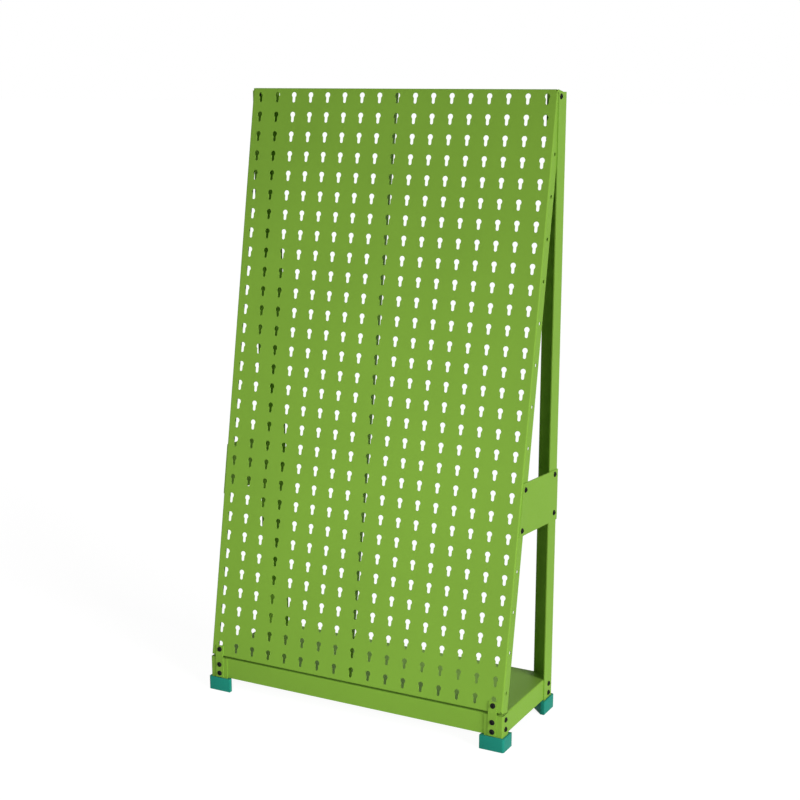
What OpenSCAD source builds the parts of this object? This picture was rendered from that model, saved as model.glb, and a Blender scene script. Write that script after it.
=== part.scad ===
// Leaning tool stand: a perforated steel panel on a low shelf, propped by two rear posts.
// X runs along the panel, Y from front to back, Z up. The floor is at Z = 0.

/* [Hole grid] */
// Distance between neighbouring keyholes, across and up
pitch = 38; // [34:1:44]
// Keyholes across the panel
cols = 17; // [9:1:21]
// Keyholes up the panel
rows = 30; // [24:1:34]
// Diameter of a keyhole's round part
key_d = 11; // [9:0.5:13]
// Width of a keyhole's slot
slot_w = 6.5; // [6.2:0.1:8]
// Drop from the round part's centre to the slot's end centre
key_drop = 12; // [9:0.5:14]
// Depth of the round part's centre below the top of its grid cell
key_top = 13; // [10:0.5:14]

/* [Panel] */
// Lean of the panel, in degrees from upright
tilt = 10.1; // [6:0.1:13]
// Thickness of the panel sheet
panel_t = 1.2; // [0.8:0.1:2]
// Depth of the folded edges of the panel
flange_w = 24; // [20:0.5:28]
// Outer radius of the folds in the sheets
fold_r = 2.5; // [2.1:0.1:4]
// Diameter of the holes in the side edges
edge_d = 7; // [6.5:0.1:7.5]
// Distance of the top bolt below the top of the panel
top_inset = 11; // [8:0.5:14]

/* [Centre rib] */
// Width of the channel behind the panel
rib_w = 19; // [12:0.5:22]
// Distance of the channel's open side from the panel's rear edges
rib_short = 1.8; // [0:0.1:8]
// Gap between the channel's ends and the panel's folded edges
rib_gap = 0.3; // [0.2:0.1:3]

/* [Posts and legs] */
// Flange width of the rear posts and of the legs' front flange
post_w = 38; // [35:0.5:45]
// Thickness of the posts and legs
post_t = 2; // [1.5:0.1:3]
// Width of the legs' side flange
leg_side = 26; // [20:0.5:30]
// Distance of the posts' bolt holes from the posts' rear corners
post_hole_in = 17; // [16:0.5:20]
// Gap between the panel's rear top corner and the posts' back flanges
post_gap = 12.4; // [9:0.2:13]
// Distance of the posts' tops below the top of the panel
post_drop = 5; // [4:0.5:7]

/* [Shelf] */
// Height of the shelf's underside above the tops of the feet
shelf_lift = 1.5; // [1:0.5:20]
// Height of the shelf tray
shelf_h = 41; // [40:0.5:60]
// Thickness of the shelf sheet
shelf_t = 1.2; // [0.8:0.1:2]
// Width of the lips under the shelf's front and rear edges
lip_w = 10; // [6:0.5:16]
// Clearance between the shelf and the panel's lower folded edge
panel_gap = 0.8; // [0.3:0.1:6]
// Height of the lower corner bolts above the shelf's underside
corner_low = 8; // [8:0.5:9.5]
// Distance between the two corner bolts of a pair
corner_step = 19; // [14:0.5:20]
// Height of the legs' side bolts above the other corner bolts
leg_lift = 4; // [0:0.5:5]

/* [Side plates] */
// Thickness of the side plates
plate_t = 2; // [1.5:0.1:3]
// Distance from the plates' upper and lower edges to their bolts
plate_margin = 12; // [9:0.5:14]
// Edge hole, counted from the top, that takes the upper plate bolt
plate_row = 9; // [5:1:11]
// Drop of the plates from front to back
plate_slope = 7; // [0:0.5:10]
// Drop of the rear plate bolts below the front ones
plate_drop = 2.5; // [0:0.5:4]

/* [Joining strips] */
// Width of the strips that join the panel to the legs
strip_w = 17; // [14:0.5:20]
// Thickness of the strips
strip_t = 2; // [1.5:0.1:3]
// Distance from the strips' ends to their bolts
strip_end = 8; // [6:0.5:9]

/* [Feet] */
// Height of the plastic feet
foot_h = 27.5; // [20:0.5:40]
// Outer wall and floor thickness of the feet
foot_wall = 4; // [3:0.1:5]
// Length of a foot beyond the flange that it holds
foot_end = 8; // [7:0.5:14]
// Radius of the feet's outer corner
foot_r = 4; // [2:0.5:6]
// Clearance round a leg in its foot
foot_fit = 0.2; // [0.1:0.05:0.4]

/* [Bolts and nuts] */
// Thread diameter of the bolts
bolt_d = 6; // [5:0.1:6.1]
// Length of the bolts under the head
bolt_l = 12; // [11:0.5:13.5]
// Diameter of the bolt holes
hole_d = 7; // [6.5:0.1:8]
// Diameter of the button heads
head_d = 10.5; // [9.5:0.1:12]
// Height of the button heads
head_h = 3.3; // [2.8:0.1:4]
// Height of the straight rim under each head's dome
head_rim = 0.5; // [0.3:0.05:0.8]
// Width across flats of the heads' sockets
socket_af = 4; // [3:0.1:4.5]
// Depth of the heads' sockets
socket_deep = 1.9; // [1.2:0.1:2.2]
// Width across flats of the nuts
nut_af = 10; // [9:0.1:11]
// Height of the nuts
nut_h = 5; // [3.5:0.1:5.2]
// Clearance between a bolt and its nut
nut_fit = 0.1; // [0.05:0.05:0.3]

/* [Hidden] */
$fn = 32;

panel_green = "#739f34";
foot_teal = "#1b8573";
bolt_black = "#1c1e1c";

// Panel and stand
panel_w = cols * pitch;
panel_h = rows * pitch;
shelf_z = foot_h + shelf_lift;
shelf_top = shelf_z + shelf_h;
panel_z = shelf_top + panel_gap + flange_w * sin(tilt);
side_x = panel_w / 2;
post_x = side_x + post_t;
post_back = panel_h * sin(tilt) + flange_w * cos(tilt) + post_gap + post_t;
post_front = post_back - post_w;
rib_d = flange_w - panel_t - rib_short;
post_top = panel_z + panel_h * cos(tilt) - post_drop;
eps = 1;

// Edge holes of the panel, in distance from its top
edge_step = 2 * pitch;
edge_in = flange_w / 2;
plate_hi = panel_h - pitch - plate_row * edge_step;
plate_lo = plate_hi - edge_step;

// Corner bolts
corner_lo = shelf_z + corner_low;
corner_hi = corner_lo + corner_step;
strip_x = (cols - 1) / 2 * pitch;
strip_up = pitch - key_top - key_drop;
leg_bolt_y = leg_side / 2;
post_bolt_y = post_back - post_hole_in;
back_bolt_x = post_x - post_hole_in;

// Side plate: rear bolts and rear edge
plate_mid = panel_z + (plate_hi + plate_lo) / 2 * cos(tilt) - edge_in * sin(tilt);
rear_bolt_lo = plate_mid - plate_drop - edge_step / 2;
rear_bolt_hi = rear_bolt_lo + edge_step;
plate_rear_mid = plate_mid - plate_slope;
plate_half = edge_step / 2 + plate_margin;

// The stand is centred on its whole depth, heads and feet included
y_front = -max(strip_t + head_h, foot_wall);
y_back = post_back + max(head_h, foot_wall);
y_mid = (y_front + y_back) / 2;

// Moves a piece from the panel's bottom front edge to the stand's frame
module in_stand() {
    translate([0, -y_mid, 0]) children();
}

// Lays a piece on the leaning panel: Y is depth behind the face, Z is distance up the slope
module on_panel() {
    in_stand() translate([0, 0, panel_z]) rotate([-tilt, 0, 0]) children();
}

// Draws a right-hand piece on the side named by s, 1 for right and -1 for left
module on_side(s) {
    if (s > 0) children();
    else mirror([1, 0, 0]) children();
}

// Rectangle whose two lower corners are rounded
module round_foot_rect(w, h, r) {
    translate([-w / 2, r]) square([w, h - r]);
    translate([-w / 2 + r, 0]) square([w - 2 * r, r + 0.01]);
    for (s = [-1, 1]) translate([s * (w / 2 - r), r]) circle(r);
}

// Pan of a panel: face at Y = 0, open at the back, all four edges folded back
module pan_block(w, h, d, r) {
    intersection() {
        linear_extrude(h) round_foot_rect(w, d, r);
        translate([-w / 2, 0, h / 2]) rotate([90, 0, 90]) linear_extrude(w)
            rotate(-90) round_foot_rect(h, d, r);
    }
}

// One keyhole, its round part's centre at the origin
module keyhole() {
    circle(d = key_d);
    translate([-slot_w / 2, -key_drop]) square([slot_w, key_drop]);
    translate([0, -key_drop]) circle(d = slot_w);
}

// Hole with its axis along X, right through a side flange at the given depth and height
module side_hole(y, z, d = hole_d) {
    translate([side_x - 4 * post_t, y, z]) rotate([0, 90, 0]) cylinder(d = d, h = 8 * post_t);
}

// Hole with its axis along Y, right through an upright sheet
module face_hole(x, z, y = 0) {
    translate([x, y + 4 * post_t, z]) rotate([90, 0, 0]) cylinder(d = hole_d, h = 8 * post_t);
}

module perforated_panel() {
    color(panel_green) on_panel() difference() {
        pan_block(panel_w, panel_h, flange_w, fold_r);
        translate([0, panel_t, panel_t])
            pan_block(panel_w - 2 * panel_t, panel_h - 2 * panel_t, flange_w, fold_r - panel_t);
        translate([0, panel_t + eps, 0]) rotate([90, 0, 0]) linear_extrude(panel_t + 2 * eps)
            for (i = [0 : cols - 1], j = [0 : rows - 1])
                translate([(i - (cols - 1) / 2) * pitch, panel_h - j * pitch - key_top]) keyhole();
        for (s = [-1, 1], z = [pitch : edge_step : panel_h - pitch / 2])
            on_side(s) side_hole(edge_in, panel_h - z, edge_d);
        for (s = [-1, 1]) on_side(s) side_hole(edge_in, panel_h - top_inset, edge_d);
        // Open seams at the four corners of the folded edges
        for (x = [-1, 1], z = [0, 1])
            translate([x * (side_x - panel_t - fold_r / 2), fold_r, z * panel_h])
                cube([fold_r, 2 * (flange_w + eps - fold_r), 3 * fold_r], center = true);
    }
}

module centre_rib() {
    rib_l = panel_h - 2 * (panel_t + rib_gap);
    color(panel_green) on_panel() translate([-pitch / 2, panel_t, panel_t + rib_gap])
        difference() {
            linear_extrude(rib_l) round_foot_rect(rib_w, rib_d, fold_r);
            translate([0, panel_t, -eps]) linear_extrude(rib_l + 2 * eps)
                round_foot_rect(rib_w - 2 * panel_t, rib_d, fold_r - panel_t);
        }
}

// Angle section with its outer corner at the origin and flanges along -X and +Y
module angle_section(a, b, t, r) {
    translate([-a, 0]) square([a - r, t]);
    translate([-t, r]) square([t, b - r]);
    intersection() {
        translate([-r, r]) difference() {
            circle(r);
            circle(r - t);
        }
        translate([-r, 0]) square([r, r]);
    }
}

// Rear post on the right: side flange forward, back flange inward
module rear_post() {
    difference() {
        translate([post_x, post_back, foot_wall]) mirror([0, 1, 0])
            linear_extrude(post_top - foot_wall) angle_section(post_w, post_w, post_t, fold_r);
        for (z = [corner_lo, corner_hi]) {
            side_hole(post_bolt_y, z);
            face_hole(back_bolt_x, z, post_back);
        }
        for (z = [rear_bolt_lo, rear_bolt_hi]) side_hole(post_bolt_y, z);
        translate([0, 0, panel_z]) rotate([-tilt, 0, 0]) side_hole(edge_in, panel_h - top_inset);
    }
}

module rear_post_left() {
    color(panel_green) in_stand() on_side(-1) rear_post();
}

module rear_post_right() {
    color(panel_green) in_stand() on_side(1) rear_post();
}

// Short leg at a front corner, flush with the top of the shelf
module front_leg() {
    difference() {
        translate([post_x, 0, foot_wall]) linear_extrude(shelf_top - foot_wall)
            angle_section(post_w, leg_side, post_t, fold_r);
        for (z = [corner_lo, corner_hi]) {
            side_hole(leg_bolt_y, z + leg_lift);
            face_hole(strip_x, z);
        }
    }
}

module front_leg_left() {
    color(panel_green) in_stand() on_side(-1) front_leg();
}

module front_leg_right() {
    color(panel_green) in_stand() on_side(1) front_leg();
}

// Block of the shelf with rounded top edges and corners
module shelf_block(inset, r) {
    w = panel_w - 2 * inset;
    d = post_back - 2 * post_t - 2 * inset;
    y = post_back / 2;
    h = shelf_h - inset;
    intersection() {
        translate([0, y, shelf_top - inset]) mirror([0, 0, 1]) rotate([90, 0, 0])
            linear_extrude(d, center = true) round_foot_rect(w, h, r);
        translate([0, y, shelf_top - inset]) mirror([0, 0, 1]) rotate([90, 0, 90])
            linear_extrude(w, center = true) round_foot_rect(d, h, r);
        translate([0, y, shelf_z - eps]) linear_extrude(h + 2 * eps) corner_rect(w, d, r);
    }
}

// Rectangle about the origin with four rounded corners
module corner_rect(w, d, r) {
    square([w, d - 2 * r], center = true);
    square([w - 2 * r, d], center = true);
    for (x = [-1, 1], y = [-1, 1]) translate([x * (w / 2 - r), y * (d / 2 - r)]) circle(r);
}

module base_shelf() {
    depth = post_back - 2 * post_t;
    color(panel_green) in_stand() difference() {
        shelf_block(0, fold_r);
        difference() {
            shelf_block(shelf_t, fold_r - shelf_t);
            for (s = [-1, 1])
                translate([0, post_back / 2 + s * (depth - lip_w) / 2, shelf_z + shelf_t / 2])
                    cube([panel_w, lip_w, shelf_t], center = true);
        }
        translate([-side_x + shelf_t, post_t + lip_w, shelf_z - eps])
            cube([panel_w - 2 * shelf_t, depth - 2 * lip_w, 2 * shelf_t]);
        for (s = [-1, 1], z = [corner_lo, corner_hi]) on_side(s) {
            side_hole(leg_bolt_y, z + leg_lift);
            side_hole(post_bolt_y, z);
            face_hole(strip_x, z);
            face_hole(back_bolt_x, z, post_back);
        }
    }
}

// Point of the right side's outline at distance z up the slope and depth y behind the face
function slope_pt(y, z) = [y * cos(tilt) + z * sin(tilt), panel_z + z * cos(tilt) - y * sin(tilt)];

// Side plate on the right, sprung from the panel's edge over the post
module side_plate() {
    flat_end = slope_pt(flange_w, plate_hi)[0] + post_t;
    rear = post_back - panel_t;
    outline = [
        slope_pt(fold_r, plate_lo - plate_margin), [rear, plate_rear_mid - plate_half],
        [rear, plate_rear_mid + plate_half], slope_pt(fold_r, plate_hi + plate_margin)
    ];
    spring = [
        [side_x, 0], [side_x, flat_end], [post_x, post_front - post_t], [post_x, post_back],
        [post_x + plate_t, post_back], [post_x + plate_t, post_front - post_t],
        [side_x + plate_t, flat_end], [side_x + plate_t, 0]
    ];
    difference() {
        intersection() {
            translate([side_x - eps, 0, 0]) rotate([90, 0, 90])
                linear_extrude(post_t + plate_t + 2 * eps) polygon(outline);
            linear_extrude(post_top) polygon(spring);
        }
        for (z = [plate_lo, plate_hi]) side_hole(slope_pt(edge_in, z)[0], slope_pt(edge_in, z)[1]);
        for (z = [rear_bolt_lo, rear_bolt_hi]) side_hole(post_bolt_y, z);
    }
}

module side_plate_left() {
    color(panel_green) in_stand() on_side(-1) side_plate();
}

module side_plate_right() {
    color(panel_green) in_stand() on_side(1) side_plate();
}

// Strip on the right: upright on the leg, then bent back along the panel
module joining_strip() {
    bottom = corner_lo - strip_end;
    top_in = slope_pt(0, strip_up + strip_end);
    top_out = slope_pt(-strip_t, strip_up + strip_end);
    bend_z = panel_z + strip_t * tan(tilt / 2);
    difference() {
        translate([strip_x - strip_w / 2, 0, 0]) rotate([90, 0, 90]) linear_extrude(strip_w)
            polygon([
                [0, bottom], [0, panel_z], top_in, top_out, [-strip_t, bend_z], [-strip_t, bottom]
            ]);
        for (z = [corner_lo, corner_hi]) face_hole(strip_x, z);
        translate([0, 0, panel_z]) rotate([-tilt, 0, 0]) face_hole(strip_x, strip_up);
    }
}

module joining_strip_left() {
    color(panel_green) in_stand() on_side(-1) joining_strip();
}

module joining_strip_right() {
    color(panel_green) in_stand() on_side(1) joining_strip();
}

// Outline of a foot: outer corner at the origin, cut off by a slanting inner face
module foot_outline(a, b, nose, r) {
    difference() {
        polygon([[0, 0], [-a, 0], [-a, nose], [-nose, b], [0, b]]);
        translate([-r, 0]) difference() {
            square(r);
            translate([0, r]) circle(r);
        }
    }
}

// Foot on the right: holds an angle of flanges a and b in a slot, with a hollow behind the slot
module foot(a, b) {
    out_a = a + foot_wall + foot_end;
    out_b = b + foot_wall + foot_end;
    nose = 2 * foot_wall;
    back = foot_wall + post_t + foot_fit;
    rib = foot_wall / 2;
    difference() {
        linear_extrude(foot_h) foot_outline(out_a, out_b, nose, foot_r);
        translate([-foot_wall - a, foot_wall - foot_fit, foot_wall])
            cube([a + foot_fit, post_t + 2 * foot_fit, foot_h]);
        translate([-foot_wall - post_t - foot_fit, foot_wall - foot_fit, foot_wall])
            cube([post_t + 2 * foot_fit, b + foot_fit, foot_h]);
        translate([0, 0, foot_wall]) linear_extrude(foot_h) polygon([
            [-back - rib, back + rib],
            [-(out_a - back - 4 * rib), back + rib],
            [-back - rib, out_b - back - 4 * rib]
        ]);
    }
}

module front_foot() {
    translate([post_x + foot_wall, -foot_wall, 0]) foot(post_w, leg_side);
}

module rear_foot() {
    translate([post_x + foot_wall, post_back + foot_wall, 0]) mirror([0, 1, 0])
        foot(post_w, post_w);
}

module foot_front_left() {
    color(foot_teal) in_stand() on_side(-1) front_foot();
}

module foot_front_right() {
    color(foot_teal) in_stand() on_side(1) front_foot();
}

module foot_rear_left() {
    color(foot_teal) in_stand() on_side(-1) rear_foot();
}

module foot_rear_right() {
    color(foot_teal) in_stand() on_side(1) rear_foot();
}

// Button head bolt with its head's seat at the origin and the head on +Z
module button_bolt() {
    dome_h = head_h - head_rim;
    dome_r = (pow(head_d / 2, 2) + pow(dome_h, 2)) / (2 * dome_h);
    difference() {
        intersection() {
            cylinder(d = head_d, h = head_h + eps);
            translate([0, 0, head_h - dome_r]) sphere(r = dome_r);
        }
        translate([0, 0, head_h - socket_deep])
            cylinder(d = socket_af / cos(30), h = socket_deep + eps, $fn = 6);
    }
    translate([0, 0, -bolt_l]) cylinder(d = bolt_d, h = bolt_l + (head_h - socket_deep) / 2);
}

// Nut of a bolt that clamps the given grip
module hex_nut(grip) {
    translate([0, 0, -grip - nut_h]) difference() {
        cylinder(d = nut_af / cos(30), h = nut_h, $fn = 6);
        translate([0, 0, -eps]) cylinder(d = bolt_d + 2 * nut_fit, h = nut_h + 2 * eps);
    }
}

// Turns a fastener's head outwards: to the right, to the front or to the back
module head_right() {
    rotate([0, 90, 0]) rotate(30) children();
}

module head_front() {
    rotate([90, 0, 0]) rotate(30) children();
}

module head_back() {
    rotate([-90, 0, 0]) rotate(30) children();
}

// Places of the fasteners, on both sides of the stand
module at_top() {
    for (s = [-1, 1]) in_stand() on_side(s)
        translate([post_x, slope_pt(edge_in, panel_h - top_inset)[0],
                   slope_pt(edge_in, panel_h - top_inset)[1]])
            head_right() children();
}

module at_plate_front() {
    for (s = [-1, 1], z = [plate_lo, plate_hi]) in_stand() on_side(s)
        translate([side_x + plate_t, slope_pt(edge_in, z)[0], slope_pt(edge_in, z)[1]])
            head_right() children();
}

module at_plate_rear() {
    for (s = [-1, 1], z = [rear_bolt_lo, rear_bolt_hi]) in_stand() on_side(s)
        translate([post_x + plate_t, post_bolt_y, z]) head_right() children();
}

module at_strip_top() {
    for (s = [-1, 1]) on_side(s) on_panel()
        translate([strip_x, -strip_t, strip_up]) head_front() children();
}

module at_strip_low() {
    for (s = [-1, 1], z = [corner_lo, corner_hi]) in_stand() on_side(s)
        translate([strip_x, -strip_t, z]) head_front() children();
}

module at_leg_side() {
    for (s = [-1, 1], z = [corner_lo, corner_hi]) in_stand() on_side(s)
        translate([post_x, leg_bolt_y, z + leg_lift]) head_right() children();
}

module at_post_side() {
    for (s = [-1, 1], z = [corner_lo, corner_hi]) in_stand() on_side(s)
        translate([post_x, post_bolt_y, z]) head_right() children();
}

module at_post_back() {
    for (s = [-1, 1], z = [corner_lo, corner_hi]) in_stand() on_side(s)
        translate([back_bolt_x, post_back, z]) head_back() children();
}

module top_bolts() {
    color(bolt_black) at_top() button_bolt();
}

module top_nuts() {
    color(bolt_black) at_top() hex_nut(post_t + panel_t);
}

module plate_bolts() {
    color(bolt_black) {
        at_plate_front() button_bolt();
        at_plate_rear() button_bolt();
    }
}

module plate_nuts() {
    color(bolt_black) {
        at_plate_front() hex_nut(plate_t + panel_t);
        at_plate_rear() hex_nut(plate_t + post_t);
    }
}

module strip_bolts() {
    color(bolt_black) {
        at_strip_top() button_bolt();
        at_strip_low() button_bolt();
    }
}

module strip_nuts() {
    color(bolt_black) {
        at_strip_top() hex_nut(strip_t + panel_t);
        at_strip_low() hex_nut(strip_t + post_t + shelf_t);
    }
}

module front_corner_bolts() {
    color(bolt_black) at_leg_side() button_bolt();
}

module front_corner_nuts() {
    color(bolt_black) at_leg_side() hex_nut(post_t + shelf_t);
}

module rear_corner_bolts() {
    color(bolt_black) {
        at_post_side() button_bolt();
        at_post_back() button_bolt();
    }
}

module rear_corner_nuts() {
    color(bolt_black) {
        at_post_side() hex_nut(post_t + shelf_t);
        at_post_back() hex_nut(post_t + shelf_t);
    }
}

perforated_panel();
centre_rib();
rear_post_left();
rear_post_right();
front_leg_left();
front_leg_right();
base_shelf();
side_plate_left();
side_plate_right();
joining_strip_left();
joining_strip_right();
foot_front_left();
foot_front_right();
foot_rear_left();
foot_rear_right();
top_bolts();
top_nuts();
plate_bolts();
plate_nuts();
strip_bolts();
strip_nuts();
front_corner_bolts();
front_corner_nuts();
rear_corner_bolts();
rear_corner_nuts();
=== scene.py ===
# %% [markdown]
# # A painted tool stand, step by step
# The stand is a tall sheet of green painted steel with 510 keyholes. It leans on two angle posts
# over a low shelf, and four plastic feet hold its corners. The CAD model gives every solid its
# exact place, and this script adds the looks. Sizes are in metres: X runs right, Y back and Z up.

# %% Load the CAD model
import math
import bmesh
import bpy
from mathutils import Matrix, Vector


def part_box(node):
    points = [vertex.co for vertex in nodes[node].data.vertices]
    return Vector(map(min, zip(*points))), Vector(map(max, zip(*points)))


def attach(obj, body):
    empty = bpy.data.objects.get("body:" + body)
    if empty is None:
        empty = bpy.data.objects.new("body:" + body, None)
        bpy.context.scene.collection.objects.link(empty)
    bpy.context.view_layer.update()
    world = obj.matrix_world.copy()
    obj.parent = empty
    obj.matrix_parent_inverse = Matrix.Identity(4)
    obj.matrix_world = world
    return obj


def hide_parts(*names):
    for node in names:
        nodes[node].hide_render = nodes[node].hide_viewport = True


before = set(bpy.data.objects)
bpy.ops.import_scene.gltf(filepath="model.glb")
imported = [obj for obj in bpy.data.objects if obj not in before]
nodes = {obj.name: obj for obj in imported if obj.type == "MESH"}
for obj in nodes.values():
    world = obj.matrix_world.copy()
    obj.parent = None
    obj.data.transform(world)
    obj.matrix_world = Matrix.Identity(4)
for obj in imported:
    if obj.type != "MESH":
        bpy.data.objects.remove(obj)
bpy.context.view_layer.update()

# %% [markdown]
# ## The camera
# The photo was taken from the front, 28 degrees to the right and a little above the stand. The
# grid of holes gave the camera: each hole's place in the image is known, and so is its place on
# the panel. A focal length of 68 mm on a 36 mm sensor and a small shift give the same perspective.
# The decimals come from that fit.

# %% Place the camera
camera_data = bpy.data.cameras.new("photo_camera")
camera = bpy.data.objects.new("photo_camera", camera_data)
bpy.context.scene.collection.objects.link(camera)
STAND_MIDDLE = Vector((0, 0, 0.6))
camera.location = (1.36434, -2.50333, 1.22091)
camera.rotation_euler = [math.radians(a) for a in (76.3312, 0.0173, 28.0417)]
camera_data.sensor_width = 36
camera_data.lens = 68.094
camera_data.shift_x = 0.00974
camera_data.shift_y = 0.05440
camera_data.clip_end = 200
bpy.context.scene.camera = camera
print("camera is", round((camera.location - STAND_MIDDLE).length, 2), "m from the stand")

# %% [markdown]
# ## The sizes that this script shares with the CAD
# The new pieces sit on holes and bolts of the CAD model. Their places follow from a few of its
# sizes, which are repeated here. The panel leans back, so a point on it is given by its depth
# behind the face and its distance up the slope, and one function turns that into Y and Z.

# %% Shared sizes
THIN, THICK = 0.0012, 0.002  # sheet of the panel, rib and shelf, and of all the other steel
PITCH = 0.038  # from keyhole to keyhole, across and up
COLUMNS, ROWS = 17, 30
KEY_RADIUS, SLOT_HALF = 0.0055, 0.00325
KEY_DROP, KEY_TOP = 0.012, 0.013  # round centre to slot end, and panel's top edge to first row
EDGE_HOLE_RADIUS = 0.0035
TILT = math.radians(10.1)
FLANGE = 0.024  # depth of the panel's folded edges
EDGE_IN = FLANGE / 2
PANEL_LENGTH = ROWS * PITCH
SIDE_X = COLUMNS * PITCH / 2
POST_X = SIDE_X + THICK
BEHIND_PANEL = 0.0144  # from the panel's rear edge at the top to the posts' rear faces
POST_BACK = PANEL_LENGTH * math.sin(TILT) + FLANGE * math.cos(TILT) + BEHIND_PANEL
POST_HOLE_IN = 0.017  # from a post's corner to its bolts
POST_HOLES = POST_BACK - POST_HOLE_IN
HEAD_HEIGHT, FOOT_WALL = 0.0033, 0.004
Y_MIDDLE = (POST_BACK + FOOT_WALL - THICK - HEAD_HEIGHT) / 2
SHELF_TOP, PANEL_GAP = 0.070, 0.0008
PANEL_FOOT = SHELF_TOP + PANEL_GAP + FLANGE * math.sin(TILT)


def on_slope(depth, up):
    """Y and Z of a point on the panel, in the stand's frame."""
    y = depth * math.cos(TILT) + up * math.sin(TILT)
    z = up * math.cos(TILT) - depth * math.sin(TILT)
    return y - Y_MIDDLE, z + PANEL_FOOT


# The folds are rounded in the CAD, so its box ends 0.4 mm short of the sharp edges used here.
low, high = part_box("perforated_panel")
print("panel bottom edge in the CAD:", round(low[1], 5), "and here:", round(-Y_MIDDLE, 5))
top_edge = on_slope(0, PANEL_LENGTH)[1]
print("panel top edge in the CAD:", round(high[2], 5), "and here:", round(top_edge, 5))

# %% [markdown]
# ## Node trees, written in code
# Materials and Geometry Nodes are both trees of nodes with links. These helpers add a node, set
# its inputs and link it in one line, so that each tree below reads like a short recipe.

# %% Helpers for node trees
def add(tree, kind, values=None, **settings):
    """Adds a node, sets its properties, and sets or links its inputs by name or number."""
    node = tree.nodes.new(kind)
    for name, value in settings.items():
        setattr(node, name, value)
    for key, value in (values or {}).items():
        if isinstance(value, bpy.types.NodeSocket):
            tree.links.new(value, node.inputs[key])
        else:
            node.inputs[key].default_value = value
    return node


def math_node(tree, operation, a, b=0.0):
    """One step of arithmetic in a tree, as its output socket."""
    return add(tree, "ShaderNodeMath", {0: a, 1: b}, operation=operation).outputs[0]


def new_group(name, inputs, outputs, kind="ShaderNodeTree"):
    """An empty node group with named sockets, and its two end nodes."""
    group = bpy.data.node_groups.new(name, kind)
    for socket_name, socket_kind, value in inputs:
        socket = group.interface.new_socket(socket_name, in_out="INPUT", socket_type=socket_kind)
        if value is not None:
            socket.default_value = value
    for socket_name, socket_kind in outputs:
        group.interface.new_socket(socket_name, in_out="OUTPUT", socket_type=socket_kind)
    return group, group.nodes.new("NodeGroupInput"), group.nodes.new("NodeGroupOutput")


print("helpers ready")

# %% [markdown]
# ## Three surface effects that the materials share
# Real paint and plastic are never one flat colour. A slow drift of tone comes from the spray gun
# and the mould, a fine relief catches the light, and a little dust settles on what faces up. Each
# effect is one group with named inputs, built once and used in every material with its own values.

# %% Tone drift: the colour wanders slowly over the surface
tone_drift, ends_in, ends_out = new_group(
    "tone_drift",
    [("Color", "NodeSocketColor", None), ("Scale", "NodeSocketFloat", 4.0),
     ("Amount", "NodeSocketFloat", 0.1)],
    [("Color", "NodeSocketColor")])
place = add(tone_drift, "ShaderNodeTexCoord").outputs["Object"]
slow = add(tone_drift, "ShaderNodeTexNoise", {
    "Vector": place, "Scale": ends_in.outputs["Scale"], "Detail": 3.0})
centred = math_node(tone_drift, "SUBTRACT", slow.outputs["Fac"], 0.5)
swing = math_node(tone_drift, "MULTIPLY", centred, ends_in.outputs["Amount"])
gain = math_node(tone_drift, "ADD", swing, 1.0)
toned = add(tone_drift, "ShaderNodeHueSaturation", {
    "Value": gain, "Color": ends_in.outputs["Color"]})
tone_drift.links.new(toned.outputs["Color"], ends_out.inputs["Color"])
print("group:", tone_drift.name)

# %% Fine relief: a wavy orange peel with a finer grain on it
fine_relief, ends_in, ends_out = new_group(
    "fine_relief",
    [("Wave Scale", "NodeSocketFloat", 300.0), ("Grain Scale", "NodeSocketFloat", 1500.0),
     ("Grain Share", "NodeSocketFloat", 0.3)],
    [("Height", "NodeSocketFloat"), ("Mask", "NodeSocketFloat")])
place = add(fine_relief, "ShaderNodeTexCoord").outputs["Object"]
wave = add(fine_relief, "ShaderNodeTexNoise", {
    "Vector": place, "Scale": ends_in.outputs["Wave Scale"], "Detail": 1.0})
grain = add(fine_relief, "ShaderNodeTexNoise", {
    "Vector": place, "Scale": ends_in.outputs["Grain Scale"], "Detail": 2.0})
fine = math_node(fine_relief, "MULTIPLY", grain.outputs["Fac"], ends_in.outputs["Grain Share"])
height = math_node(fine_relief, "ADD", wave.outputs["Fac"], fine)
fine_relief.links.new(height, ends_out.inputs["Height"])
fine_relief.links.new(wave.outputs["Fac"], ends_out.inputs["Mask"])
print("group:", fine_relief.name)

# %% Settled dust: a thin pale veil on faces that look up
TOO_STEEP, NEARLY_FLAT = 0.55, 0.95  # Z of the normal: no dust on faces over 57 degrees steep
NOISE_LOW, NOISE_HIGH = 0.3, 0.7  # a noise seldom leaves this range
settled_dust, ends_in, ends_out = new_group(
    "settled_dust",
    [("Color", "NodeSocketColor", None), ("Dust Color", "NodeSocketColor", (0.30, 0.29, 0.25, 1)),
     ("Amount", "NodeSocketFloat", 0.2)],
    [("Color", "NodeSocketColor"), ("Mask", "NodeSocketFloat")])
normal = add(settled_dust, "ShaderNodeNewGeometry").outputs["Normal"]
up = add(settled_dust, "ShaderNodeSeparateXYZ", {0: normal})
facing = add(settled_dust, "ShaderNodeMapRange", {
    "Value": up.outputs["Z"], "From Min": TOO_STEEP, "From Max": NEARLY_FLAT})
place = add(settled_dust, "ShaderNodeTexCoord").outputs["Object"]
patches = add(settled_dust, "ShaderNodeTexNoise", {"Vector": place, "Scale": 14.0, "Detail": 4.0})
uneven = add(settled_dust, "ShaderNodeMapRange", {
    "Value": patches.outputs["Fac"], "From Min": NOISE_LOW, "From Max": NOISE_HIGH,
    "To Min": 0.6, "To Max": 1.0})
lying = math_node(settled_dust, "MULTIPLY", facing.outputs["Result"], uneven.outputs["Result"])
veil = math_node(settled_dust, "MULTIPLY", lying, ends_in.outputs["Amount"])
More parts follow.
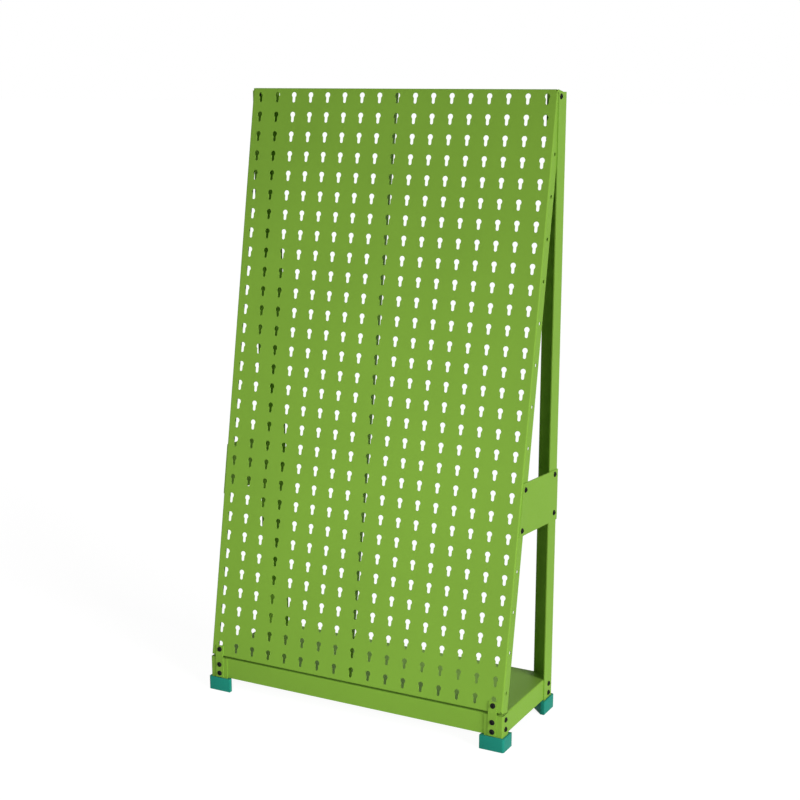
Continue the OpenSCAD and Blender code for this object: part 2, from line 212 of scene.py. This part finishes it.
dusty = add(settled_dust, "ShaderNodeMix", {  # inputs 6 and 7 are its colours A and B
    "Factor": veil, 6: ends_in.outputs["Color"], 7: ends_in.outputs["Dust Color"]},
    data_type="RGBA")
settled_dust.links.new(dusty.outputs[2], ends_out.inputs["Color"])
settled_dust.links.new(veil, ends_out.inputs["Mask"])
print("group:", settled_dust.name)

# %% [markdown]
# ## The three finishes
# The sheet steel has a satin powder coat, the feet are moulded from teal plastic, and the bolts
# have a thin black coat. They share one recipe: colour, then drift, then dust, with the relief
# under the gloss. Only the values differ. A low index of refraction keeps the gloss weak, as on
# satin paint, and is set on the shader itself, because it is the same all over.

# %% A finish from the shared groups
BUMP_STRENGTH, ROUGHNESS_SWING, DUST_DULLS = 0.5, 0.05, 0.4


def make_finish(name, colour, drift, dust, relief, roughness, ior):
    """Drift is (scale, amount), relief is (wave scale, grain scale, grain share, height)."""
    material = bpy.data.materials.new(name)
    material.use_nodes = True
    tree = material.node_tree
    tree.nodes.clear()
    toned = add(tree, "ShaderNodeGroup", node_tree=tone_drift)
    toned.inputs["Color"].default_value = (*colour, 1)
    toned.inputs["Scale"].default_value, toned.inputs["Amount"].default_value = drift
    veiled = add(tree, "ShaderNodeGroup", node_tree=settled_dust)
    tree.links.new(toned.outputs["Color"], veiled.inputs["Color"])
    veiled.inputs["Amount"].default_value = dust
    peel = add(tree, "ShaderNodeGroup", node_tree=fine_relief)
    for key, value in zip(("Wave Scale", "Grain Scale", "Grain Share"), relief):
        peel.inputs[key].default_value = value
    bump = add(tree, "ShaderNodeBump", {
        "Height": peel.outputs["Height"], "Strength": BUMP_STRENGTH, "Distance": relief[3]})
    varied = add(tree, "ShaderNodeMapRange", {
        "Value": peel.outputs["Mask"], "From Min": NOISE_LOW, "From Max": NOISE_HIGH,
        "To Min": roughness - ROUGHNESS_SWING, "To Max": roughness + ROUGHNESS_SWING})
    duller = math_node(tree, "MULTIPLY", veiled.outputs["Mask"], DUST_DULLS)
    matted = math_node(tree, "ADD", varied.outputs["Result"], duller)
    shader = add(tree, "ShaderNodeBsdfPrincipled", {
        "Base Color": veiled.outputs["Color"], "Roughness": matted,
        "Normal": bump.outputs["Normal"], "IOR": ior})
    add(tree, "ShaderNodeOutputMaterial", {"Surface": shader.outputs[0]})
    return material


green_paint = make_finish(
    "green_powder_coat", colour=(0.212, 0.404, 0.0445), drift=(5.0, 0.16), dust=0.03,
    relief=(330.0, 1700.0, 0.25, 0.00006), roughness=0.54, ior=1.18)
foot_plastic = make_finish(
    "teal_moulded_plastic", colour=(0.013, 0.248, 0.184), drift=(18.0, 0.2), dust=0.08,
    relief=(700.0, 2600.0, 0.6, 0.00008), roughness=0.54, ior=1.18)
black_coat = make_finish(
    "black_bolt_coat", colour=(0.0096, 0.0104, 0.0096), drift=(120.0, 0.5), dust=0.03,
    relief=(1500.0, 4000.0, 0.5, 0.00004), roughness=0.6, ior=1.15)
print("finishes:", [m.name for m in (green_paint, foot_plastic, black_coat)])

# %% Give every CAD node its finish
FASTENERS = [name for name in nodes if name.endswith(("_bolts", "_nuts"))]
FEET = [name for name in nodes if name.startswith("foot_")]
for name, node in nodes.items():
    finish = black_coat if name in FASTENERS else foot_plastic if name in FEET else green_paint
    node.data.materials.clear()
    node.data.materials.append(finish)
painted = len(nodes) - len(FASTENERS) - len(FEET)
print("painted:", painted, "plastic:", len(FEET), "black:", len(FASTENERS))

# %% [markdown]
# ## From a node tree to a plain piece
# A Geometry Nodes tree lives in a modifier. Its inputs are set by their identifiers, the object is
# evaluated, and what comes out is copied into a plain mesh that stands at the origin. The start
# mesh had no material, so an empty slot may come along, and it is dropped.

# %% Helper: run a tree on a small start mesh
def grow(name, start, tree, inputs):
    """Runs the tree on (vertices, faces, attributes) and rides the result on the root."""
    vertices, faces, attributes = start
    seed = bpy.data.meshes.new(name + "_start")
    seed.from_pydata(vertices, [], faces)
    for key, vectors in attributes.items():
        layer = seed.attributes.new(key, "FLOAT_VECTOR", "POINT")
        layer.data.foreach_set("vector", [c for v in vectors for c in v])
    maker = bpy.data.objects.new(name + "_maker", seed)
    bpy.context.scene.collection.objects.link(maker)
    modifier = maker.modifiers.new("tree", "NODES")
    modifier.node_group = tree
    for item in tree.interface.items_tree:
        if item.item_type == "SOCKET" and item.in_out == "INPUT" and item.name in inputs:
            modifier[item.identifier] = inputs[item.name]
    bpy.context.view_layer.update()
    seen = maker.evaluated_get(bpy.context.evaluated_depsgraph_get())
    mesh = bpy.data.meshes.new_from_object(seen)
    maker.modifiers.remove(modifier)
    bpy.data.objects.remove(maker)
    mesh.name = name
    for layer in [a for a in mesh.attributes if a.name in attributes]:
        mesh.attributes.remove(layer)
    for index in reversed(range(len(mesh.materials))):
        if mesh.materials[index] is None:
            mesh.materials.pop(index=index)
    piece = bpy.data.objects.new(name, mesh)
    bpy.context.scene.collection.objects.link(piece)
    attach(piece, "root")
    print(name, "has", len(mesh.polygons), "faces in", mesh.materials[0].name)
    return piece


# %% [markdown]
# ## The rims of the keyholes
# A punch leaves a keyhole with a softly raised edge, and powder coat gathers on such an edge as a
# bead, which narrows the hole a little. One outline with a low rim and its bead is enough: the
# tree repeats it on a grid with the panel's own pitch. The outline is drawn once in code, because
# a keyhole is an arc, two straight sides and a half round.

# %% The outline of one keyhole, around its round part's centre
ROUND_STEPS, END_STEPS = 12, 5  # few, because the outline is repeated 510 times


def arc(cx, cy, radius, start, end, steps):
    """Points on an arc, both ends included."""
    turns = [math.radians(start + (end - start) * i / steps) for i in range(steps + 1)]
    return [(cx + radius * math.cos(a), cy + radius * math.sin(a)) for a in turns]


def keyhole_outline():
    """Anticlockwise, with the slot pointing to -Y."""
    shoulder = math.degrees(math.asin(SLOT_HALF / KEY_RADIUS))
    round_part = arc(0, 0, KEY_RADIUS, -90 + shoulder, 270 - shoulder, ROUND_STEPS)
    return round_part + arc(0, -KEY_DROP, SLOT_HALF, 180, 360, END_STEPS)


outline = keyhole_outline()
print("keyhole outline:", len(outline), "points")

# %% A rim along an outline: from the face over a low crest and the bead to the hole's wall
RIM_WIDTH, CREST_OUT = 0.0007, 0.0001  # from the hole's edge to the rim's foot and its crest
RIM_HEIGHT = 0.0002
KEY_BEAD, EDGE_BEAD, BEAD_DEPTH = 0.0003, 0.0, 0.0003
SUNK, HIDDEN, RIM_END = 0.00002, 0.00005, 0.001  # both ends of the band lie inside the sheet


def rim_band(points, bead):
    """Four rings of points: under the face, on the crest, on the bead and in the wall."""
    inwards = (-RIM_WIDTH, -CREST_OUT, bead, -HIDDEN)
    heights = (-SUNK, RIM_HEIGHT, -BEAD_DEPTH, -RIM_END)
    count = len(points)
    vertices = []
    for inward, up_by in zip(inwards, heights):
        for i, (x, y) in enumerate(points):
            before, after = points[i - 1], points[(i + 1) % count]
            along = Vector((after[0] - before[0], after[1] - before[1])).normalized()
            vertices.append((x - along.y * inward, y + along.x * inward, up_by))
    faces = []
    for row in range(len(inwards) - 1):
        low, high = row * count, (row + 1) * count
        for i in range(count):
            j = (i + 1) % count
            faces.append((low + i, low + j, high + j, high + i))
    return vertices, faces


print("one rim:", len(rim_band(outline, KEY_BEAD)[1]), "faces")

# %% The tree: one rim on every point of a grid, then turned and moved to its sheet
rim_grid, ends_in, ends_out = new_group(
    "rim_grid",
    [("Rim", "NodeSocketGeometry", None), ("Columns", "NodeSocketInt", 1),
     ("Rows", "NodeSocketInt", 1), ("Spacing", "NodeSocketFloat", PITCH),
     ("Turn", "NodeSocketVector", None), ("Place", "NodeSocketVector", None),
     ("Coat", "NodeSocketMaterial", None)],
    [("Geometry", "NodeSocketGeometry")], "GeometryNodeTree")


def grid_side(count_name):
    """Length of the grid from the number of holes along it."""
    gaps = math_node(rim_grid, "SUBTRACT", ends_in.outputs[count_name], 1.0)
    return math_node(rim_grid, "MULTIPLY", gaps, ends_in.outputs["Spacing"])


grid = add(rim_grid, "GeometryNodeMeshGrid", {
    "Size X": grid_side("Columns"), "Size Y": grid_side("Rows"),
    "Vertices X": ends_in.outputs["Columns"], "Vertices Y": ends_in.outputs["Rows"]})
copies = add(rim_grid, "GeometryNodeInstanceOnPoints", {
    "Points": grid.outputs["Mesh"], "Instance": ends_in.outputs["Rim"]})
real = add(rim_grid, "GeometryNodeRealizeInstances", {0: copies.outputs[0]})
laid = add(rim_grid, "GeometryNodeTransform", {
    "Geometry": real.outputs[0], "Translation": ends_in.outputs["Place"],
    "Rotation": ends_in.outputs["Turn"]})
coated = add(rim_grid, "GeometryNodeSetMaterial", {
    "Geometry": laid.outputs[0], "Material": ends_in.outputs["Coat"]})
rim_grid.links.new(coated.outputs[0], ends_out.inputs[0])
print("tree:", rim_grid.name, "with", len(rim_grid.nodes), "nodes")

# %% The keyhole rims on the panel's face
grid_up = PANEL_LENGTH - (ROWS - 1) / 2 * PITCH - KEY_TOP
grow("keyhole_rims", (*rim_band(outline, KEY_BEAD), {}), rim_grid,
     {"Columns": COLUMNS, "Rows": ROWS, "Spacing": PITCH, "Turn": (math.pi / 2 - TILT, 0, 0),
      "Place": (0, *on_slope(0, grid_up)), "Coat": green_paint})

# %% [markdown]
# The folded side edges carry a row of round holes, one at every second keyhole. The same tree
# makes their rims, one column wide. The runs leave out the holes under the side plates and the
# posts: the upper one starts 3 pitches below the top with 8 holes, the lower one at 23 with 4.

# %% The round rims on the folded edges
EDGE_RUNS = (("upper", 3, 8), ("lower", 23, 4))
round_outline = arc(0, 0, EDGE_HOLE_RADIUS, 0, 345, 23)  # 24 points, 15 degrees apart
for side, facing in (("right", 1), ("left", -1)):
    slope = Vector((0, math.sin(TILT), math.cos(TILT)))
    outwards = Vector((facing, 0, 0))
    across = slope.cross(outwards)
    turn = Matrix((across, slope, outwards)).transposed().to_euler()
    for part, first, count in EDGE_RUNS:
        middle = PANEL_LENGTH - (first + count - 1) * PITCH
        place = (facing * SIDE_X, *on_slope(EDGE_IN, middle))
        grow(f"edge_rims_{side}_{part}", (*rim_band(round_outline, EDGE_BEAD), {}), rim_grid,
             {"Columns": 1, "Rows": count, "Spacing": 2 * PITCH, "Turn": turn,
              "Place": place, "Coat": green_paint})

# %% [markdown]
# ## Bolts and nuts
# The stand is held by 28 black M6 button head bolts. A real button head is a low dome on a short
# straight rim, with a hexagon socket, and the end that shows behind the nut has a thread. The tree
# makes one bolt from primitives and booleans, then sets it on every place, aimed along its hole
# and turned by a random amount, because nobody lines up the sockets of bolts.

# %% The places of the bolts
TOP_INSET = 0.011  # from the panel's top edge to the top bolts
STRIP_X = (COLUMNS - 1) / 2 * PITCH
STRIP_UP = PITCH - KEY_TOP - KEY_DROP  # at the slots' ends in the lowest row
CORNER_HEIGHTS = (0.037, 0.056)
LEG_BOLT_Y, LEG_LIFT = 0.013, 0.004  # the legs' side bolts, which sit a little higher
PLATE_UP = (PANEL_LENGTH - 21 * PITCH, PANEL_LENGTH - 19 * PITCH)  # on two edge holes
PLATE_DROP = 0.0025  # the plates' rear bolts sit this much lower than their front ones
front_middle = PANEL_FOOT + sum(PLATE_UP) / 2 * math.cos(TILT) - EDGE_IN * math.sin(TILT)
plate_middle = front_middle - PLATE_DROP
ON_SIDE, ON_FRONT, ON_BACK = (1, 0, 0), (0, -1, 0), (0, 1, 0)
ON_PANEL = (0, -math.cos(TILT), math.sin(TILT))
seats, aims, grips = [], [], []


def seat(x, yz, aim, grip):
    """One bolt on each side: the centre of its head's seat, its aim and what it clamps."""
    for side in (1, -1):
        seats.append((side * x, *yz))
        aims.append((side * aim[0], aim[1], aim[2]))
        grips.append(grip)


seat(POST_X, on_slope(EDGE_IN, PANEL_LENGTH - TOP_INSET), ON_SIDE, THICK + THIN)
seat(STRIP_X, on_slope(-THICK, STRIP_UP), ON_PANEL, THICK + THIN)
for up_by, offset in zip(PLATE_UP, (-PITCH, PITCH)):
    seat(SIDE_X + THICK, on_slope(EDGE_IN, up_by), ON_SIDE, THICK + THIN)
    seat(POST_X + THICK, (POST_HOLES - Y_MIDDLE, plate_middle + offset), ON_SIDE, 2 * THICK)
for height in CORNER_HEIGHTS:
    seat(STRIP_X, (-THICK - Y_MIDDLE, height), ON_FRONT, 2 * THICK + THIN)
    seat(POST_X, (LEG_BOLT_Y - Y_MIDDLE, height + LEG_LIFT), ON_SIDE, THICK + THIN)
    seat(POST_X, (POST_HOLES - Y_MIDDLE, height), ON_SIDE, THICK + THIN)
    seat(POST_X - POST_HOLE_IN, (POST_BACK - Y_MIDDLE, height), ON_BACK, THICK + THIN)
print("places for bolts:", len(seats))

# %% The places against the boxes of the CAD's own bolts
SLACK = 1e-4
for name in ("top_bolts", "plate_bolts", "strip_bolts", "front_corner_bolts", "rear_corner_bolts"):
    low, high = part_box(name)
    inside = [p for p in seats if all(low[i] - SLACK <= p[i] <= high[i] + SLACK for i in range(3))]
    print(name, "have a box that holds", len(inside), "of the places")

# %% [markdown]
# Bolts and nuts are turned and milled, so both trees build them from the few solids that a lathe
# or a mill would leave: drums, balls and booleans of them. The helpers work on sockets, so each
# size stays an input of its tree and can be changed later.

# %% Solids that both trees share
BALL_SEGMENTS, BALL_RINGS, ROUND_SIDES = 32, 24, 32


def times(tree, socket, factor):
    """A socket's value times a number or another socket."""
    return math_node(tree, "MULTIPLY", socket, factor)


def moved(tree, mesh, z):
    """A mesh shifted along Z by a number or a socket."""
    shift = add(tree, "ShaderNodeCombineXYZ", {"Z": z}).outputs[0]
    transform = add(tree, "GeometryNodeTransform", {"Geometry": mesh, "Translation": shift})
    return transform.outputs[0]


def drum(tree, radius, depth, sides):
    """A closed cylinder with its centre at the origin."""
    cylinder = add(tree, "GeometryNodeMeshCylinder", {
        "Vertices": sides, "Radius": radius, "Depth": depth})
    return cylinder.outputs["Mesh"]


def ball(tree, radius):
    """A closed ball with its centre at the origin."""
    sphere = add(tree, "GeometryNodeMeshUVSphere", {
        "Segments": BALL_SEGMENTS, "Rings": BALL_RINGS, "Radius": radius})
    return sphere.outputs["Mesh"]


def combine(tree, operation, first, *others):
    """A boolean of meshes: INTERSECT, or DIFFERENCE with the others taken from the first."""
    node = add(tree, "GeometryNodeMeshBoolean", operation=operation, solver="EXACT")
    if operation == "DIFFERENCE":
        tree.links.new(first, node.inputs["Mesh 1"])
    else:
        others = (first, *others)
    for mesh in others:
        tree.links.new(mesh, node.inputs["Mesh 2"])
    return node.outputs["Mesh"]


def corner_radius(tree, flats):
    """Radius at the corners of a hexagon from its width across flats."""
    return times(tree, flats, 0.5 / math.cos(math.pi / 6))


print("a ball has", BALL_SEGMENTS, "by", BALL_RINGS, "faces, a head has", ROUND_SIDES, "sides")

# %% Copies on their places
def stand_on_places(tree, mesh, places, seed, coat):
    """Copies of the mesh on the points, each along its aim and turned at random, then coated."""
    aim = add(tree, "GeometryNodeInputNamedAttribute", {"Name": "aim"}, data_type="FLOAT_VECTOR")
    aimed = add(tree, "FunctionNodeAlignRotationToVector", {"Vector": aim.outputs[0]}, axis="Z")
    roll = add(tree, "FunctionNodeRandomValue", {"Seed": seed}, data_type="FLOAT")
    roll.inputs[3].default_value = math.radians(60)  # a hexagon looks the same after 60 degrees
    euler = add(tree, "ShaderNodeCombineXYZ", {"Z": roll.outputs[1]})
    spun = add(tree, "FunctionNodeEulerToRotation", {0: euler.outputs[0]})
    turned = add(tree, "FunctionNodeRotateRotation", {
        "Rotation": aimed.outputs[0], "Rotate By": spun.outputs[0]}, rotation_space="LOCAL")
    copies = add(tree, "GeometryNodeInstanceOnPoints", {
        "Points": places, "Instance": mesh, "Rotation": turned.outputs[0]})
    real = add(tree, "GeometryNodeRealizeInstances", {0: copies.outputs[0]})
    coated = add(tree, "GeometryNodeSetMaterial", {"Geometry": real.outputs[0], "Material": coat})
    return coated.outputs[0]


print("copies follow the aims of", len(aims), "places")

# %% The bolt's inputs and its head
button_bolt, ends_in, ends_out = new_group(
    "button_bolt",
    [("Places", "NodeSocketGeometry", None), ("Head Diameter", "NodeSocketFloat", 0.0105),
     ("Head Height", "NodeSocketFloat", HEAD_HEIGHT), ("Rim", "NodeSocketFloat", 0.0005),
     ("Socket", "NodeSocketFloat", 0.004), ("Socket Depth", "NodeSocketFloat", 0.0019),
     ("Thread Diameter", "NodeSocketFloat", 0.006), ("Length", "NodeSocketFloat", 0.012),
     ("Seed", "NodeSocketInt", 0), ("Coat", "NodeSocketMaterial", None)],
    [("Geometry", "NodeSocketGeometry")], "GeometryNodeTree")


def dome(tree, width, height, rim):
    """A button head on Z = 0: a ball cut off below by a drum of the head's width."""
    rise = math_node(tree, "SUBTRACT", height, rim)
    half = times(tree, width, 0.5)
    squares = math_node(tree, "ADD", times(tree, half, half), times(tree, rise, rise))
    radius = math_node(tree, "DIVIDE", squares, times(tree, rise, 2.0))
    lifted = moved(tree, ball(tree, radius), math_node(tree, "SUBTRACT", height, radius))
    body = moved(tree, drum(tree, half, times(tree, height, 2.0), ROUND_SIDES), height)
    return combine(tree, "INTERSECT", lifted, body)


tall = ends_in.outputs["Head Height"]
button = dome(button_bolt, ends_in.outputs["Head Diameter"], tall, ends_in.outputs["Rim"])
depth = ends_in.outputs["Socket Depth"]
socket_radius = corner_radius(button_bolt, ends_in.outputs["Socket"])
socket = drum(button_bolt, socket_radius, times(button_bolt, depth, 2.0), 6)
head = combine(button_bolt, "DIFFERENCE", button, moved(button_bolt, socket, tall))
print("a head takes", len(button_bolt.nodes), "nodes")

# %% The shank with its thread, and the whole bolt on every place
ROOT_SHARE = 0.87  # radius of the shank under the thread, as a share of the thread's own
RIDGE_SHARE = 0.89  # where the thread's ridge is centred, as a share of the same radius
THREAD_TURNS, THREAD_LENGTH = 8.0, 0.0065
RIDGE = 0.00032  # radius of the ridge's own triangle
SHANK_SIDES, TURN_STEPS, RIDGE_SIDES = 20, 16, 3
thread_radius = times(button_bolt, ends_in.outputs["Thread Diameter"], 0.5)
length = ends_in.outputs["Length"]
core = drum(button_bolt, times(button_bolt, thread_radius, ROOT_SHARE), length, SHANK_SIDES)
core = moved(button_bolt, core, times(button_bolt, length, -0.498))  # its top is inside the head
ridge_radius = times(button_bolt, thread_radius, RIDGE_SHARE)
helix = add(button_bolt, "GeometryNodeCurveSpiral", {
    "Resolution": TURN_STEPS, "Rotations": THREAD_TURNS, "Start Radius": ridge_radius,
    "End Radius": ridge_radius, "Height": THREAD_LENGTH})
ridge = add(button_bolt, "GeometryNodeCurvePrimitiveCircle", {
    "Resolution": RIDGE_SIDES, "Radius": RIDGE}, mode="RADIUS")
thread = add(button_bolt, "GeometryNodeCurveToMesh", {
    "Curve": helix.outputs[0], "Profile Curve": ridge.outputs[0], "Fill Caps": True})
tip = math_node(button_bolt, "SUBTRACT", 0.0005, length)  # half a millimetre above the end
whole = add(button_bolt, "GeometryNodeJoinGeometry")
for mesh in (head, core, moved(button_bolt, thread.outputs[0], tip)):
    button_bolt.links.new(mesh, whole.inputs[0])
placed = stand_on_places(button_bolt, whole.outputs[0], ends_in.outputs["Places"],
                         ends_in.outputs["Seed"], ends_in.outputs["Coat"])
button_bolt.links.new(placed, ends_out.inputs[0])
print("tree:", button_bolt.name, "with", len(button_bolt.nodes), "nodes")

# %% [markdown]
# A nut is cut from a hexagonal bar, and its corners are turned off on a lathe. A hexagon that
# meets a ball gets the same curved chamfers without any modelling by hand, and a drum that is
# longer than the nut leaves its bore.

# %% The tree for nuts
BALL_SHARE = 0.545  # the ball's radius as a share of the width across flats
BORE_SIDES, BORE_SHARE = 24, 1.5  # the bore's drum against the nut's height
hex_nut, ends_in, ends_out = new_group(
    "hex_nut",
    [("Places", "NodeSocketGeometry", None), ("Across Flats", "NodeSocketFloat", 0.010),
     ("Height", "NodeSocketFloat", 0.005), ("Bore Diameter", "NodeSocketFloat", 0.0062),
     ("Seed", "NodeSocketInt", 0), ("Coat", "NodeSocketMaterial", None)],
    [("Geometry", "NodeSocketGeometry")], "GeometryNodeTree")
flats, tall = ends_in.outputs["Across Flats"], ends_in.outputs["Height"]
middle = times(hex_nut, tall, -0.5)
hexagon = drum(hex_nut, corner_radius(hex_nut, flats), tall, 6)
turning = ball(hex_nut, times(hex_nut, flats, BALL_SHARE))  # cuts the corners, spares the flats
rounded = combine(hex_nut, "INTERSECT", hexagon, turning)
bore_radius = times(hex_nut, ends_in.outputs["Bore Diameter"], 0.5)
bore = drum(hex_nut, bore_radius, times(hex_nut, tall, BORE_SHARE), BORE_SIDES)
bored = moved(hex_nut, combine(hex_nut, "DIFFERENCE", rounded, bore), middle)
placed = stand_on_places(hex_nut, bored, ends_in.outputs["Places"],
                         ends_in.outputs["Seed"], ends_in.outputs["Coat"])
hex_nut.links.new(placed, ends_out.inputs[0])
print("tree:", hex_nut.name, "with", len(hex_nut.nodes), "nodes")

# %% Grow the bolts and nuts in place of the CAD ones
bolts = grow("button_bolts", (seats, [], {"aim": aims}), button_bolt,
             {"Seed": 7, "Coat": black_coat})
nut_seats = [tuple(Vector(p) - Vector(a) * g) for p, a, g in zip(seats, aims, grips)]
nuts = grow("hex_nuts", (nut_seats, [], {"aim": aims}), hex_nut,
            {"Seed": 11, "Coat": black_coat})
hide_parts(*[name for name in FASTENERS if name.endswith("bolts")])
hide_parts(*[name for name in FASTENERS if name.endswith("nuts")])
for piece in (bolts, nuts):
    corners = [Vector(v.co) for v in piece.data.vertices]
    print(piece.name, "reach", [round(min(c[i] for c in corners), 4) for i in range(3)],
          [round(max(c[i] for c in corners), 4) for i in range(3)])

# %% [markdown]
# ## Moulded feet
# A plastic moulding has no sharp edges, because a mould can't have them and they would wear off.
# The CAD foot has the right shape with sharp edges, so a copy of it is cleaned into one closed
# mesh, and every sharp edge is rounded by a millimetre with a bevel. Soft edges catch the light.

# %% Round the edges of a copy of a CAD node
ONE_PLANE = math.radians(0.5)  # facets that turn less than this are joined into one face
SHARP = math.radians(30)  # edges that turn more than this are rounded
CREASE = math.radians(35)  # edges that turn more than this are shaded hard


def soften(node_name, piece_name, radius, steps):
    """A copy of a CAD node with rounded edges, which stands for the node."""
    mesh = nodes[node_name].data.copy()
    mesh.name = piece_name
    form = bmesh.new()
    form.from_mesh(mesh)
    bmesh.ops.remove_doubles(form, verts=form.verts, dist=1e-6)
    bmesh.ops.dissolve_limit(form, angle_limit=ONE_PLANE, verts=form.verts, edges=form.edges)
    folded = [e for e in form.edges if len(e.link_faces) == 2]
    sharp = [e for e in folded if e.calc_face_angle() > SHARP]
    bmesh.ops.bevel(form, geom=sharp, offset=radius, segments=steps, profile=0.5, affect="EDGES",
                    clamp_overlap=True)
    bmesh.ops.recalc_face_normals(form, faces=form.faces)
    form.to_mesh(mesh)
    form.free()
    mesh.shade_smooth()
    mesh.set_sharp_from_angle(angle=CREASE)
    piece = bpy.data.objects.new(piece_name, mesh)
    bpy.context.scene.collection.objects.link(piece)
    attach(piece, "root")
    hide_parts(node_name)
    print(piece_name, "has", len(mesh.polygons), "faces")
    return piece


for name in FEET:
    soften(name, "moulded_" + name, radius=0.001, steps=3)

# %% [markdown]
# ## The studio
# The photo's background is pure white. The floor is a plain pale plane that is lit like the stand,
# and shows nearly white to the camera while it keeps a faint shadow. The world looks white to the
# camera and in reflections, but lights the stand with a gentler strength.

# %% Rays that see a white studio
def looks_white(tree):
    """1 for a ray of the camera, a gloss or a clear body, and 0 for light that falls on things."""
    path = add(tree, "ShaderNodeLightPath").outputs
    seen = math_node(tree, "MAXIMUM", path["Is Camera Ray"], path["Is Glossy Ray"])
    return math_node(tree, "MAXIMUM", seen, path["Is Transmission Ray"])


# %% World
AMBIENT = 0.10
world = bpy.data.worlds.new("studio")
bpy.context.scene.world = world
world.use_nodes = True
air = world.node_tree
air.nodes.clear()
strength = add(air, "ShaderNodeMapRange", {
    "Value": looks_white(air), "To Min": AMBIENT, "To Max": 1.0})
sky = add(air, "ShaderNodeBackground", {
    "Color": (1, 1, 1, 1), "Strength": strength.outputs["Result"]})
add(air, "ShaderNodeOutputWorld", {"Surface": sky.outputs[0]})
print("world lights with", AMBIENT)

# %% Floor
REACH = 60  # half the floor's side
GLOW = 0.94  # how white the floor looks to the camera by itself
floor_mesh = bpy.data.meshes.new("studio_floor")
floor_edge = [(-REACH, -REACH, 0), (REACH, -REACH, 0), (REACH, REACH, 0), (-REACH, REACH, 0)]
floor_mesh.from_pydata(floor_edge, [], [(0, 1, 2, 3)])
floor = bpy.data.objects.new("studio_floor", floor_mesh)
bpy.context.scene.collection.objects.link(floor)
floor.location.z = -0.0002  # just under the feet, so that no two faces share a plane
paper = bpy.data.materials.new("pale_floor")
paper.use_nodes = True
tree = paper.node_tree
tree.nodes.clear()
lit = add(tree, "ShaderNodeBsdfDiffuse", {"Color": (0.75, 0.75, 0.74, 1)})
faint = add(tree, "ShaderNodeBsdfDiffuse", {"Color": (0.16, 0.16, 0.16, 1)})
glow = add(tree, "ShaderNodeEmission", {"Color": (1, 1, 1, 1), "Strength": GLOW})
bright = add(tree, "ShaderNodeAddShader", {0: faint.outputs[0], 1: glow.outputs[0]})
both = add(tree, "ShaderNodeMixShader", {
    0: looks_white(tree), 1: lit.outputs[0], 2: bright.outputs[0]})
add(tree, "ShaderNodeOutputMaterial", {"Surface": both.outputs[0]})
floor_mesh.materials.append(paper)
print("floor:", [round(s, 1) for s in floor.dimensions])

# %% [markdown]
# ## The light
# In the photo the right-hand side faces are brighter than the front. So the main light is a soft
# sun on the right, a little in front and not high. The inside of the right post is dark and a
# purer green, because only light that has bounced off green paint gets there. So the world gives
# little, and a weak sun behind lights the shelf and the panel's back. A small lamp in front adds
# the rest.

# %% The main light and the weak one behind
def soft_sun(name, towards, power, width):
    """A sun whose light comes from the given direction, with an angle of width degrees."""
    data = bpy.data.lights.new(name, "SUN")
    data.energy = power
    data.angle = math.radians(width)
    lamp = bpy.data.objects.new(name, data)
    bpy.context.scene.collection.objects.link(lamp)
    lamp.rotation_euler = Vector(towards).to_track_quat("Z", "Y").to_euler()
    print(name, "power", power)


soft_sun("main_light", (0.90, -0.30, 0.34), 2.82, 25)
soft_sun("back_light", (-0.10, 0.80, 0.55), 0.42, 40)

# %% A small lamp in front, at mid height: the top stays a little darker, as in the photo
front_data = bpy.data.lights.new("front_lamp", "AREA")
front_data.shape, front_data.size, front_data.size_y = "RECTANGLE", 0.5, 0.4
front_data.energy = 5.7
front_lamp = bpy.data.objects.new("front_lamp", front_data)
bpy.context.scene.collection.objects.link(front_lamp)
front_lamp.location = (0.25, -1.2, 0.6)
LAMP_TARGET = Vector((0, 0, 0.5))
away = front_lamp.location - LAMP_TARGET
front_lamp.rotation_euler = away.to_track_quat("Z", "Y").to_euler()
print("front lamp power", front_data.energy)

bpy.context.scene.view_settings.view_transform = "Standard"
